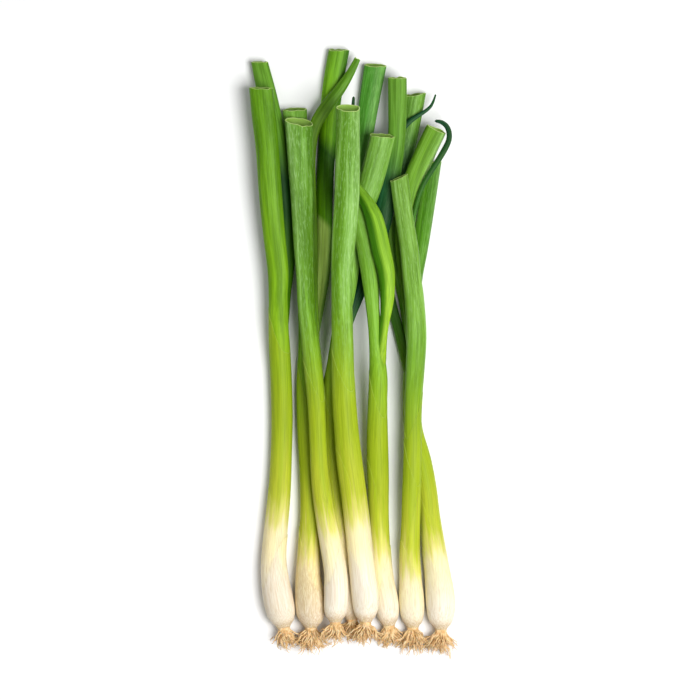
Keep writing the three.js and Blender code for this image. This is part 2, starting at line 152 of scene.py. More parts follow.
# Side to side drift of the pale streak along a leaf, in radians, and its pitch; the streak is waxy
# bloom, and on the right sides of most leaves also a painted highlight
STREAK_DRIFT = 0.22
STREAK_PITCH = 37

# Leaf colours, sRGB: at the fork and at the tip
FRESH = ((138, 184, 26), (102, 154, 24))
WAXY = ((120, 172, 34), (104, 156, 42))
PALE = ((134, 186, 46), (126, 178, 66))
MILD = ((122, 172, 34), (116, 166, 48))
MILKY = ((124, 174, 50), (130, 176, 76))
DARK = ((100, 154, 22), (86, 146, 30))
COOL = ((84, 150, 30), (80, 152, 48))
TEAL = ((76, 126, 36), (24, 74, 44))
LIME = ((166, 204, 48), (132, 184, 44))

# Leaf colours at the places that a leaf names, as its y on the axes of the routes
SHADED = ((14, 70, 44), (30, 90, 50), (98, 150, 44), (108, 158, 52))
# Leaf D0's colours: up to y 68.5, the sheath's own pale colour, brightened further as painted light
# against its neighbours' shade; the dark band round y 109 is a painted shadow of leaf E
BANDED_PAINTED_LIGHT_AND_SHADE = (
    (150, 192, 40), (222, 255, 134), (222, 255, 134), (116, 184, 6), (50, 104, 6), (132, 196, 14),
    (132, 194, 20), (106, 160, 30),
)
# Leaf K's colours: its low part, up to y 74, brightened as painted light against the shade of its
# neighbours; at y 100 dark teal, painted shade
PAINTED_LIGHT_AND_SHADE_LOW = ((142, 204, 70), (36, 96, 50), (98, 150, 44), (108, 158, 52))
HOOKED = ((124, 174, 44), (124, 170, 48), (94, 144, 30), (90, 140, 32))
# Leaf A2's colours: painted shade, near black green from y 75 to 96, where it lies between leaves A
# and B
PAINTED_SHADE_DEEP = ((78, 136, 12), (22, 68, 12), (20, 64, 18), (98, 150, 44), (108, 158, 52))
REEDY = ((78, 136, 26), (44, 100, 34), (22, 68, 42))

# How far back those places lie on a leaf's right side, over its width, so that the edges of painted
# shadow slant like the edge of a cast shadow
PAINT_SLANT = 0.9

# Painted shade over one half of a leaf: how much darker each colour channel gets there, and how
# soft its edge is
PAINTED_SHADE_DARKENING = np.array([0.8, 0.6, 0.85])
PAINTED_SHADE_EDGE = 0.6

# Colours that all plants share, sRGB; the band runs from the white shank to the sheath's green
BAND = (
    (0.0, (249, 240, 214)), (0.12, (246, 236, 186)), (0.28, (214, 213, 104)),
    (0.42, (186, 196, 52)), (0.62, (160, 182, 34)), (1.0, (134, 172, 30)),
)
STREAK_TINT = (206, 214, 180)
WAX = (170, 212, 134)
SHANK_VEIN = (214, 186, 130)
LEAF_VEIN = (120, 140, 60)
INSIDE = (140, 178, 78)
RIM = (188, 216, 126)
TAN = (206, 176, 124)
BROWN_VEIN = (196, 160, 96)
ROOT_COLOURS = (
    (0.25, (164, 116, 62)), (0.42, (214, 174, 118)), (0.6, (234, 206, 160)),
    (0.85, (244, 228, 198)),
)

# Lengthwise patterns of a skin: stretch along it, scale, detail and roughness
PATTERNS = {
    "Veins": (0.01, 2.8, 2.0, 0.6),
    "Streaks": (0.045, 0.42, 3.0, 0.55),
    "Flecks": (0.13, 1.9, 4.0, 0.62),
}

# Lights, in metres: name, place, diameter, and power over the key light's
LIGHTS = (
    ("key_light", (0.5, -0.2, 1.15), 0.8, 1.0),
    ("fill_light", (-0.7, 0.4, 1.0), 0.9, 0.12),
)

# Camera, in metres and with its sensor in millimetres
EYE = (-0.001, 0.001)
BUNCH_HEIGHT = 0.012  # at which the picture's width is measured
SENSOR_WIDTH = 36
CLIPPING = (0.05, 20)

PLANTS = []  # in the order in which they were laid down, the lowest first


def add_plant(name, stalk, **facts):
    """Adds a plant with its stalk's route, at points (x, y, width) from the roots up."""
    PLANTS.append({"name": name, "stalk": stalk, "leaves": [], **facts})


def add_leaf(colour, route, **facts):
    """Adds a leaf, with its route from the fork to its end, to the plant added last.

    carries_on: it goes straight on from the stalk, and the others come out beside it
    pointed: it has a tip, and else a cut end, which leans back by so many degrees (cut) and
        aslant to the left (skew)
    bloom: how waxy it is
    streak: where its pale streak lies, in half turns from the right, its width and strength; it is
    waxy bloom, and on a right side also a painted highlight
    dull: painted shade over its left side, or over its right side if below 0: how dark, and where
    it starts
    """
    PLANTS[-1]["leaves"].append({"colour": colour, "route": route, **facts})


add_plant("7", [
    (50, -154, 6.5), (50, -148.5, 12.5), (50, -138.5, 15), (48.5, -124, 13.5), (46, -107, 12),
    (44, -91, 10.5), (42.5, -77, 10), (39.3, -60.5, 10), (34.9, -44, 9.5), (34.1, -30, 9.5),
    (34, -16.5, 9.5),
], green_from=-110, root_lean=-0.25)
# Leaf K: painted light on its low part and painted shade above it
add_leaf(PAINTED_LIGHT_AND_SHADE_LOW, [
    (32, 16.5, 7), (26.5, 47, 7.5), (24.5, 71.5, 9), (27, 92.5, 10), (31, 113, 11), (34, 129, 11.5),
    (36, 141.5, 12),
], cut=12, skew=0.3, places=(74, 100, 126, 140), bloom=0.4, streak=(0.5, 0.4, 0.3))
add_leaf(TEAL, [
    (26, 14, 5.5), (19, 38.5, 8.5), (17, 55, 9), (17.5, 70, 8.5), (20, 88, 7.5), (23, 107, 5.5),
    (27, 119, 4), (33, 126, 3), (40, 130.5, 2.2), (44.5, 134, 1.8), (46.5, 138.5, 1.2),
    (47.5, 142, 1),
], pointed=True, bloom=0.0)
add_leaf(DARK, [
    (35, 16.5, 7), (35.6, 38.5, 8.5), (38.4, 55, 9), (40.5, 69, 9.5), (43, 85, 9.5), (46, 105, 9.5),
], carries_on=True, cut=10, skew=0.2, bloom=0.3, streak=(0.12, 0.3, 0.5))

add_plant("8", [
    (1, -148.5, 6.5), (0.5, -143, 10.5), (0, -135.5, 11.5), (-2, -121, 10.5), (-5, -104.5, 10),
    (-8, -82.5, 9.5), (-10, -60.5, 9), (-10.5, -38.5, 9), (-10, -19, 9.5),
], green_from=-99, root_length=0.8)
add_leaf(SHADED, [
    (-3, 11, 7), (5, 33, 8), (13, 55, 10.5), (18.8, 77, 11.5), (22.5, 96, 11), (25.5, 115.5, 10),
    (26, 135, 10.5), (26, 151, 10.5),
], cut=12, places=(60, 90, 112, 140), bloom=0.1, streak=(0.3, 0.4, 0.1))
add_leaf(COOL, [
    (-6.5, 11, 7), (-4, 36, 8), (-1, 60.5, 8.5), (1.5, 82.5, 9), (5, 104.5, 9.5), (8.5, 124, 10.5),
    (11, 140, 11.5), (14, 158, 12.5),
], cut=15, skew=0.1, bloom=0.25, streak=(0.2, 0.4, 0.5))
add_leaf(PALE, [
    (-4.5, 14, 8), (-0.8, 38.5, 10), (1.5, 60.5, 10.8), (6, 76, 12.6), (11, 91, 13.6),
    (14.6, 104.5, 14), (17.9, 118.5, 14),
], carries_on=True, cut=14, skew=0.12, bloom=0.5, streak=(0.35, 0.5, 0.4))

# Plant 2's lower shank is tinted tan: dry skin, and partly painted shade where plant 3 shadows it
add_plant("2", [
    (-21.5, -153, 7), (-21.5, -146.5, 14.5), (-22, -137.5, 15.5), (-23, -124, 13),
    (-22.5, -107, 11.5), (-22, -88, 10.5), (-22.5, -66, 10.5), (-24, -44, 10), (-24.5, -22, 10),
    (-24, -8, 10),
], green_from=-114, dry=0.75)
add_leaf(PALE, [
    (-24.5, 11, 8), (-25, 38.5, 8.5), (-26, 66, 10), (-28, 93.5, 11.5), (-29.5, 115.5, 13),
    (-30.5, 133.5, 13.5),
], carries_on=True, cut=14, bloom=0.5)
# Leaf D0: painted light on its pale band, a painted shadow band, and painted shade on its right
# side where leaf D shadows it
add_leaf(BANDED_PAINTED_LIGHT_AND_SHADE, [
    (-20, 11, 7), (-15.5, 40.5, 8.5), (-14.2, 66, 9), (-14, 88, 9.5), (-12.8, 110, 10),
    (-11, 132, 11), (-9, 148.5, 11.5), (-6, 166, 11.5),
], cut=12, skew=0.15, bloom=0.1, dull=(-0.8, 0.3), places=(-20, 20, 68.5, 72.5, 109, 119, 130, 160))

add_plant("1", [
    (-36.5, -153, 7), (-37.5, -146.5, 14), (-39.5, -137.5, 15.5), (-41.5, -125.5, 14.5),
    (-42, -113, 13), (-40.5, -96, 12.5), (-39, -80, 12), (-38, -60.5, 11.5), (-37.5, -38.5, 11.5),
    (-38, -16.5, 11.5), (-39, 5.5, 11.5),
], green_from=-93.5, dry=0.25, root_length=0.85, root_lean=0.3, sheath=20)
# Leaf A2: painted shade along its lower part, between leaves A and B
add_leaf(PAINTED_SHADE_DEEP, [
    (-37.4, 27.5, 9), (-35.2, 50, 9.5), (-35.4, 66, 10), (-36.4, 82.5, 10), (-39.5, 110, 10.5),
    (-44.5, 135, 10.5), (-50, 159, 9),
], cut=14, skew=-0.2, places=(40, 75, 96, 122, 150), bloom=0.0, streak=(0.3, 0.3, 0.0))
add_leaf(FRESH, [
    (-39.5, 27.5, 10.5), (-39.5, 44, 11.5), (-42, 66, 12), (-44, 88, 12.5), (-45.5, 110, 12.5),
    (-47.5, 129, 13), (-49, 145, 13),
], carries_on=True, cut=10, skew=-0.1, bloom=0.15)

add_plant("5", [
    (21.5, -152, 6.5), (21, -146.5, 11), (20, -138.5, 12.5), (18, -126.5, 11.5), (17, -113, 10.5),
    (16, -93.5, 10.5), (15.5, -71.5, 11.5), (15, -52, 11.5), (15, -33, 10.5), (15.5, -14, 10),
], green_from=-112, root_length=0.82)
add_leaf(PALE, [
    (13.5, 11, 7), (11, 38.5, 9), (8.3, 55, 9.3), (5, 70.5, 8.5), (1.5, 87, 7), (-0.5, 102, 6),
], carries_on=True, cut=10, bloom=0.4)
# Its left half is darkened as painted shade, where the folded leaf turns away from the key light
add_leaf(LIME, [
    (18, 8, 5), (20.3, 27.5, 7.5), (20, 41.5, 9.2), (17, 55, 10.6), (13.2, 71.5, 10),
    (8.2, 82, 7.2), (2.8, 90, 5), (-1, 98, 3), (-4, 106, 1.5),
], pointed=True, bloom=0.05, dull=(1.0, -0.1))

add_plant("3", [
    (-8, -149.5, 6.5), (-8, -144, 11.5), (-7.5, -136.5, 12.5), (-8, -122, 12), (-11, -104.5, 11.5),
    (-14.5, -85, 10.5), (-16.5, -69, 9.5), (-17.5, -49.5, 9), (-18.5, -27.5, 9.5),
    (-20.5, -5.5, 10),
], green_from=-99, root_length=0.8, root_lean=-0.2)
add_leaf(HOOKED, [
    (-20, 27.5, 5), (-20.5, 55, 5.5), (-21.5, 82.5, 6), (-22, 104.5, 6), (-20, 121, 6.5),
    (-14, 132.5, 7), (-5.5, 143.5, 6), (0.5, 153, 4.5), (4.5, 161, 3.2),
], cut=10, places=(100, 126, 138, 160), bloom=0.05)
add_leaf(WAXY, [
    (-23.5, 22, 10), (-24.5, 40.5, 10), (-25.5, 60.5, 11.5), (-26, 82.5, 13), (-27, 104.5, 14.5),
    (-28, 126, 15.5),
], carries_on=True, cut=25, skew=-0.2, bloom=0.8, streak=(0.76, 0.5, 0.55))

add_plant("6", [
    (34.5, -153, 6.5), (34.5, -147, 11), (34, -138.5, 12.5), (33.5, -126.5, 11), (33, -110, 10),
    (33.5, -91, 9.5), (34, -71.5, 9.5), (34.5, -55, 9.5), (34.6, -33, 9.5), (35.8, -11, 10.3),
], green_from=-122, root_length=1.05, sheath=-11)
add_leaf(MILD, [
    (34.5, 11, 8.5), (32, 36, 9), (29.8, 58, 10), (31, 77, 11), (35, 93.5, 11.5), (41.5, 109, 11.5),
    (48, 122.5, 11.5),
], cut=15, bloom=0.15, streak=(0.12, 0.35, 0.8))
add_leaf(REEDY, [
    (36, 16.5, 3.2), (35, 44, 3), (33.5, 63, 2.6), (36, 78.5, 2.4), (39.8, 90, 2.7),
    (45.4, 99.5, 3), (51, 108.5, 3.3), (54.5, 116, 3), (53.5, 122.5, 2.8), (49.5, 125.5, 2.2),
    (45.5, 125.5, 1.1),
], pointed=True, places=(60, 96, 122), bloom=0.0)
add_leaf(MILKY, [
    (36.6, 8, 11), (35.4, 27.5, 11), (33.8, 40.5, 10.5), (32.5, 55, 10.5), (30, 71.5, 10),
    (28.5, 82.5, 10), (27, 94.5, 10),
], carries_on=True, cut=12, skew=0.3, bloom=0.7, streak=(0.1, 0.14, 0.9))

add_plant("4", [
    (8.5, -149.5, 6.5), (8.5, -144, 12), (8.5, -136.5, 14), (7, -124, 13.5), (5, -104.5, 13.5),
    (2.5, -82.5, 13.5), (0, -63, 13.5), (-2, -44, 13), (-3.5, -22, 12.5), (-4, 0, 12),
], green_from=-93.5, root_length=0.85)
add_leaf(TEAL, [
    (-4, 22, 4), (-2.5, 55, 3.5), (-1, 88, 3), (0.5, 115.5, 3), (2, 138.5, 1.5),
], pointed=True, bloom=0.0)
add_leaf(WAXY, [
    (-4.5, 22, 11.5), (-4.5, 40.5, 11.5), (-3.5, 58, 13), (-2, 80, 13.5), (-1.5, 104.5, 13.5),
    (-1, 132, 13),
], carries_on=True, cut=28, bloom=0.9, streak=(0.22, 0.5, 0.75))


def smoothstep(value, low, high):
    share = np.clip((value - low) / (high - low), 0, 1)
    return share * share * (3 - 2 * share)


def lerp(a, b, share):
    return a + (b - a) * share


def linear(red, green, blue):
    """Scene-linear colour of an sRGB one, each value from 0 to 255."""
    srgb = np.array([red, green, blue]) / 255
    return tuple(np.where(srgb <= 0.04045, srgb / 12.92, ((srgb + 0.055) / 1.055) ** 2.4)) + (1.0,)


# Laying the plants


def follow(route):
    """Stations [x, y, z, half width, half height] at an even spacing along a route."""
    points = np.array(route, float)
    ends = np.vstack([2 * points[0] - points[1], points, 2 * points[-1] - points[-2]])
    t = (np.arange(CURVE_STEPS) / CURVE_STEPS)[:, None]
    fine = []
    for before, start, end, after in zip(ends, ends[1:], ends[2:], ends[3:]):
        leave, arrive = (end - before) / 2, (after - start) / 2
        cubic = 2 * start - 2 * end + leave + arrive
        square = -3 * start + 3 * end - 2 * leave - arrive
        fine.append(((cubic * t + square) * t + leave) * t + start)
    fine = np.vstack([*fine, points[-1:]])
    stretches = np.hypot(*np.diff(fine[:, :2], axis=0).T)
    travelled = np.concatenate([[0], np.cumsum(stretches)])
    at = np.arange(0, travelled[-1], SPACING)
    x, y, width = (np.interp(at, travelled, fine[:, i]) for i in range(3))
    return np.column_stack([x, y, np.zeros_like(x), width / 2, np.zeros_like(x)])


def height_over(strand, others, share):
    """Height at which each station of a strand clears the others."""
    if len(others) == 0:
        return np.full(len(strand), -np.inf)
    reach = strand[:, 3:4] + others[:, 3] + CLEARANCE
    apart = np.hypot(strand[:, 0:1] - others[:, 0], strand[:, 1:2] - others[:, 1]) / reach
    climb = (strand[:, 4:5] + others[:, 4] + CLEARANCE) * np.sqrt(1 - np.minimum(apart, 1) ** 2)
    share = np.broadcast_to(np.asarray(share, float), len(strand))[:, None]
    return np.where(apart < 1, others[:, 2] + share * climb, -np.inf).max(axis=1)


def stiffen(heights):
    """The lowest heights that clear the given ones and bend no tighter than a leaf would."""
    places = np.arange(len(heights)) * SPACING
    gaps = places[:, None] - places
    bridged = (heights - gaps**2 / (2 * BEND_RADIUS)).max(axis=1)
    weights = np.exp(-0.5 * (gaps / SMOOTHING) ** 2)
    return weights @ bridged / weights.sum(axis=1) + SPARE


def past_fork(strand, fork):
    """How far past the fork each station of a strand lies."""
    return (np.arange(len(strand)) - fork) * SPACING


def lay_plant(plant, lying):
    """Lays one plant on the table and on the stations of the plants already there."""
    fork = len(follow(plant["stalk"])) - 1
    strands = [follow(plant["stalk"] + leaf["route"]) for leaf in plant["leaves"]]
    for strand in strands:
        flat = smoothstep(past_fork(strand, fork), 0, FLATTENING)
        strand[:, 4] = strand[:, 3] * lerp(STALK_ROUNDNESS, LEAF_ROUNDNESS, flat)
    for k, strand in enumerate(strands):
        past = past_fork(strand, fork)
        lower = np.vstack([other[fork:] for other in strands[:k]]) if k else np.empty((0, 5))
        share = smoothstep(past, LEAVES_PART_FROM, LEAVES_PART_BY)
        over_lower = np.where(past > 0, height_over(strand, lower, share), -np.inf)
        heights = np.maximum(strand[:, 4] - FLOOR_SINK, height_over(strand, lying, 1))
        strand[:, 2] = stiffen(np.maximum(heights, over_lower))
    stalk = np.max([strand[: fork + 1, 2] for strand in strands], axis=0)
    for strand in strands:
        lift = stalk[fork] - strand[fork, 2]
        strand[:, 2] += lift * (1 - smoothstep(past_fork(strand, fork), 0, FADE))
        strand[: fork + 1, 2] = stalk
    return {**plant, "fork": fork, "strands": strands}


def lay_bunch():
    lying = np.empty((0, 5))
    laid = []
    for plant in PLANTS:
        laid.append(lay_plant(plant, lying))
        lying = np.vstack([lying, *laid[-1]["strands"]])
    return laid


# Tubes and their skins


class Tube:
    """A strand's centre line, sizes and axes at a fine spacing, in millimetres."""

    def __init__(self, strand, start, step):
        length = (len(strand) - 1) * SPACING
        rough = np.arange(len(strand)) * SPACING
        self.travel = np.append(np.arange(start, length - step / 2, step), length)
        values = np.column_stack([np.interp(self.travel, rough, column) for column in strand.T])
        for _ in range(EVENING_PASSES):
            values[1:-1] = (values[:-2] + 2 * values[1:-1] + values[2:]) / 4
        self.centre = values[:, :3]
        self.half = values[:, 3]
        self.rise = values[:, 4]
        along = np.gradient(self.centre, axis=0)
        self.along = along / np.linalg.norm(along, axis=1)[:, None]
        across = np.cross(self.along, [0, 0, 1])
        self.across = across / np.linalg.norm(across, axis=1)[:, None]
        self.up = np.cross(self.across, self.along)
        self.end = length


class Shell:
    """A closed tube skin under construction: rings of points, with what each ring carries."""

    def __init__(self, sides):
        self.turn = 2 * math.pi * np.arange(sides) / sides
        self.rings = []
        self.facts = []

    def add(self, points, **facts):
        self.rings.append(points)
        self.facts.append(facts)

    def mesh(self):
        """Vertices, faces and the facts per vertex, closed by a middle point at each end."""
        count, sides = len(self.rings), len(self.turn)
        points = np.vstack([*self.rings, self.rings[0].mean(0), self.rings[-1].mean(0)])
        here = np.arange(sides)
        beside = (here + 1) % sides
        ring = sides * np.arange(count - 1)[:, None]
        corners = (ring + here, ring + sides + here, ring + sides + beside, ring + beside)
        faces = np.stack(corners, axis=-1).reshape(-1, 4).tolist()
        first, last = count * sides, count * sides + 1
        end = (count - 1) * sides
        pairs = list(zip(here.tolist(), beside.tolist()))
        faces += [(first, a, b) for a, b in pairs]
        faces += [(last, end + b, end + a) for a, b in pairs]
        carried = {}
        for key, value in self.facts[0].items():
            size = (sides, 3) if np.ndim(value) == 2 else (sides,)
            rows = [np.broadcast_to(facts[key], size) for facts in self.facts]
            carried[key] = np.concatenate([*rows, np.stack([rows[0].mean(0), rows[-1].mean(0)])])
        return points, faces, carried


def wander(rng, travel, pitch):
    """A smooth random line along a strand, from about -1 to 1."""
    knots = np.arange(travel[0] - pitch, travel[-1] + 2 * pitch, pitch)
    line = np.interp(travel, knots, rng.uniform(-1, 1, len(knots)))
    reach = max(1, int(pitch / 2 / max(travel[1] - travel[0], 1e-3)))
    kernel = np.hanning(2 * reach + 3)
    padded = np.pad(line, reach + 1, mode="edge")
    return np.convolve(padded, kernel / kernel.sum(), mode="valid")[: len(line)]


def section_shape(rng, tube, turn, fork, crease):
    """Relative radius round each section: soft facets, and grooves where the leaf is creased."""
    travel = tube.travel
    past = smoothstep(travel, fork + FACETS_DEEPEN[0], fork + FACETS_DEEPEN[1])
    shape = np.ones((len(travel), len(turn)))
    for waves in FACET_WAVES:
        phase = rng.uniform(0, 2 * math.pi) + 0.5 * wander(rng, travel, FACET_PITCH)
        uneven = 1 + 0.5 * wander(rng, travel, DEPTH_PITCH)
        depth = (STALK_FACETS + LEAF_FACETS * past) / math.sqrt(waves) * uneven
        shape += depth[:, None] * np.cos(waves * (turn - phase[:, None]))
    shape *= 1 + WIDTH_WANDER * wander(rng, travel, WIDTH_PITCH)[:, None]
    for _ in range(CREASES):
        middle = rng.uniform(*CREASE_TURNS) * math.pi + 0.25 * wander(rng, travel, CREASE_PITCH)
        start = rng.uniform(fork, tube.end - LAST_CREASE)
        stop = start + rng.uniform(*CREASE_LENGTHS)
        here = smoothstep(travel, start, start + CREASE_FADE)
        here = here * (1 - smoothstep(travel, stop - CREASE_FADE, stop))
        away = np.angle(np.exp(1j * (turn - middle[:, None]))) / rng.uniform(*CREASE_WIDTHS)
        shape -= crease * rng.uniform(0.5, 1) * here[:, None] * np.exp(-0.5 * away**2)
    return shape


class Leaf:
    """A leaf of a laid plant: its tube, its section shape, and the colours along it."""

    def __init__(self, plant, index, settings):
        facts = plant["leaves"][index]
        strand = plant["strands"][index].copy()
        self.fork = plant["fork"] * SPACING
        self.rng = np.random.default_rng(settings.seed * 100 + int(plant["name"]) * 10 + index)
        self.green_from = plant["green_from"]
        self.dry = plant.get("dry", 0)
        self.carries_on = facts.get("carries_on", False)
        self.pointed = facts.get("pointed", False)
        self.cut = math.tan(math.radians(facts.get("cut", 0)))
        self.skew = facts.get("skew", 0)
        self.bloom = facts["bloom"]
        self.streak = facts.get("streak", (0.3, 0.3, 0.12))
        self.dull, self.painted_shade_from = facts.get("dull", (0, 0))
        self.colours = np.array([linear(*colour)[:3] for colour in facts["colour"]])
        self.places = facts.get("places")
        start = 0 if self.carries_on else self.fork - BURIED
        if not self.carries_on:
            grown = smoothstep(np.arange(len(strand)) * SPACING, start, self.fork + EMERGED)
            strand[:, 3:] *= lerp(BURIED_WIDTH, 1, grown)[:, None]
        broad = self.carries_on or facts["route"][-1][2] > NARROW_END
        self.sides = settings.sides if broad else settings.sides // 2
        self.turn = 2 * math.pi * np.arange(self.sides) / self.sides
        self.tube = Tube(strand, start, settings.ring_spacing * MILLIMETRES)
        crease = settings.crease_depth * (1 if broad else 0.5)
        self.shape = section_shape(self.rng, self.tube, self.turn, self.fork, crease)
        self.phase = self.rng.uniform(0, 900)

    def ring(self, shell, travel, inset, ahead=0.0, greenest=1.0, rim=0.0, inside=0.0):
        """Adds a ring at a place along the tube, or at one for each of its points."""
        tube, turn = self.tube, self.turn
        at = np.broadcast_to(np.asarray(travel, float), len(turn))
        last = len(tube.travel) - 1
        share = np.clip(np.interp(at, tube.travel, np.arange(last + 1)), 0, last)
        low = np.minimum(share.astype(int), last - 1)
        part = share - low

        def along_tube(values):
            return lerp(values[low], values[low + 1], part[:, None])

        column = np.arange(len(turn))
        shape = lerp(self.shape[low, column], self.shape[low + 1, column], part)
        half = np.maximum(lerp(tube.half[low], tube.half[low + 1], part) - inset, THINNEST)
        rise = np.maximum(lerp(tube.rise[low], tube.rise[low + 1], part) - inset, THINNEST)
        sideways = np.cos(turn) * half * shape
        upwards = np.sin(turn) * rise * shape
        shift = np.broadcast_to(ahead, len(turn)).astype(float)
        if not self.pointed:
            slide = self.skew * sideways - self.cut * upwards
            shift = shift + smoothstep(at, tube.end - CUT_STRETCH, tube.end) * slide
        points = (
            along_tube(tube.centre)
            + sideways[:, None] * along_tube(tube.across)
            + upwards[:, None] * along_tube(tube.up)
            + shift[:, None] * along_tube(tube.along)
        )
        looks = self.looks(at, sideways, upwards, points[:, 1])
        looks["green"] = np.minimum(looks["green"], greenest)
        points[:, 2] = np.maximum(points[:, 2], FLOOR_GAP)
        shell.add(points, **looks, inside=inside, rim=rim)

    def looks(self, at, sideways, upwards, y):
        """What the materials read at a ring's points."""
        blade = smoothstep(at, self.fork - BLADE_FROM, self.tube.end)
        if self.places:
            slanted = y + PAINT_SLANT * sideways
            paint = [np.interp(slanted, self.places, channel) for channel in self.colours.T]
        else:
            paint = [lerp(*channel, blade) for channel in self.colours.T]
        # Painted shade: one half of the leaf is darkened where it turns away from the light
        leftward = -np.sign(self.dull) * np.cos(self.turn)
        dull = abs(self.dull) * smoothstep(leftward, self.painted_shade_from, self.painted_shade_from + PAINTED_SHADE_EDGE)
        white = 1 - smoothstep(y - self.green_from, -WHITE_FADE, WHITE_FADE)
        place, width, strength = self.streak
        drift = STREAK_DRIFT * np.sin(at / STREAK_PITCH + self.phase)
        off = np.angle(np.exp(1j * (self.turn - place * math.pi - drift))) / width
        return {
            "streak": strength * blade**0.5 * np.exp(-0.5 * off**2),
            "grain": np.column_stack([sideways + self.phase, upwards, at + 3 * self.phase]),
            "blade": np.column_stack(paint) * (1 - dull[:, None] * PAINTED_SHADE_DARKENING),
            "green": np.interp(y - self.green_from, *GREENING),
            "bloom": self.bloom * blade**0.5,
            "tan": np.maximum(self.dry * white, 1 - smoothstep(at, *TAN_COLLAR)),
        }


def leaf_shell(leaf, settings):
    """A leaf as a closed skin: from the shank for the one that carries on, from inside the
    stalk for a side leaf."""
    tube = leaf.tube
    shell = Shell(leaf.sides)
    if leaf.carries_on:
        for inset in START_RINGS:
            leaf.ring(shell, 0, tube.half[0] * inset)
    nicks = leaf.rng.uniform(-1, 1, NICKS) * leaf.rng.choice(NICK_DEPTHS, NICKS)
    knots = np.linspace(0, 2 * math.pi, NICKS + 1)
    ragged = np.interp(leaf.turn, knots, np.append(nicks, nicks[0]))
    near_end = smoothstep(tube.travel, tube.end - CUT_STRETCH, tube.end)
    for travel, share in zip(tube.travel[:-1], near_end[:-1]):
        leaf.ring(shell, travel, 0.0, 0.0 if leaf.pointed else share * ragged)
    if leaf.pointed:
        for share in TIP_RINGS:
            swell = math.sin(share * math.pi / 2) * tube.half[-1]
            leaf.ring(shell, tube.end, tube.half[-1] * share, swell)
        return shell
    wall = settings.wall * MILLIMETRES
    for inset, ahead, rim, inside in RIM_RINGS:
        leaf.ring(shell, tube.end, wall * inset, ragged + ahead, rim=rim, inside=inside)
    bottom = tube.end - settings.hollow_depth * MILLIMETRES
    hollow = (tube.travel > bottom) & (tube.travel < tube.end - HOLLOW_TOP)
    for travel in tube.travel[hollow][::-1]:
        leaf.ring(shell, travel, wall, inside=1.0)
    half = float(np.interp(bottom, tube.travel, tube.half))
    for share in HOLLOW_RINGS:
        dip = -half * HOLLOW_DIP * share
        leaf.ring(shell, bottom, wall + (half - wall) * share, dip, inside=1.0)
    return shell


def sheath_shell(leaf, end, slant, longest, level, thickness, edge):
    """A thin layer round a stalk, from the roots to an end that is cut aslant.

    It lies at a level over the stalk's surface and reaches furthest at the turn named longest.
    """
    shell = Shell(leaf.sides)
    turn = leaf.turn
    notch = ((1 - np.cos(turn - longest)) / 2) ** SHEATH_NOTCH
    waves = [size * np.cos(count * turn + way * leaf.phase) for count, size, way in SHEATH_WAVES]
    ends = end - slant * notch + sum(waves)
    steps = int(end / SHEATH_STEP)
    for k in range(steps + 1):
        travel = SHEATH_FROM + (ends - 2 * SHEATH_FROM) * k / steps
        lift = lerp(-SHEATH_SUNK, level, smoothstep(travel, SHEATH_FROM, SHEATH_RISEN))
        leaf.ring(shell, travel, -lift, greenest=SHEATH_GREEN)
    for ahead, height in ((0.0, 0.0), (0.1, 0.5), (0.0, 1.0)):
        inset = thickness * height - level
        leaf.ring(shell, ends + ahead, inset, greenest=SHEATH_GREEN, rim=edge)
    leaf.ring(shell, ends - 0.3, thickness + 0.6)
    return shell


def sheath_shells(plant, leaves):
    """The sheaths out of which a plant's leaves fork, the longer ones inside the shorter ones."""
    main = next(leaf for leaf in leaves if leaf.carries_on)
    shells = []
    for order, leaf in enumerate(leaf for leaf in leaves if not leaf.carries_on):
        at = min(leaf.tube.end, leaf.fork + FORK_SEEN)
        x, main_x = (np.interp(at, own.tube.travel, own.tube.centre[:, 0]) for own in (leaf, main))
        towards = FORK_TURNS[0 if x > main_x else 1] * math.pi
        end = main.fork + plant.get("sheath", SHEATH_PAST_FORK) - SHEATH_SLANT * order
        level = SHEATH_LEVEL * (order + 1)
        shell = sheath_shell(main, end, SHEATH_SLANT, towards + math.pi, level, level, SHEATH_EDGE)
        shells.append(shell)
    return shells


def placed(name, data):
    """A new object in the scene."""
    thing = bpy.data.objects.new(name, data)
    bpy.context.collection.objects.link(thing)
    return thing


def mesh_object(name, shells, material):
    """One mesh object from several closed skins, in metres, with their facts as attributes."""
    points, faces, facts = [], [], {}
    offset = 0
    for shell_points, shell_faces, shell_facts in (shell.mesh() for shell in shells):
        points.append(shell_points)
        faces += [tuple(v + offset for v in face) for face in shell_faces]
        offset += len(shell_points)
        for key, values in shell_facts.items():
            facts.setdefault(key, []).append(values)
    points = np.vstack(points)
    points[:, :2] -= MIDDLE
    mesh = bpy.data.meshes.new(name)
    mesh.from_pydata((points / MILLIMETRES).tolist(), [], faces)
    for key, values in facts.items():
        values = np.concatenate(values).astype(np.float32)
        kind, field = ("FLOAT_VECTOR", "vector") if values.ndim == 2 else ("FLOAT", "value")
        mesh.attributes.new(key, kind, "POINT").data.foreach_set(field, values.ravel())
    mesh.polygons.foreach_set("use_smooth", [True] * len(mesh.polygons))
    mesh.materials.append(material)
    mesh.update()
    return placed(name, mesh)


# Materials


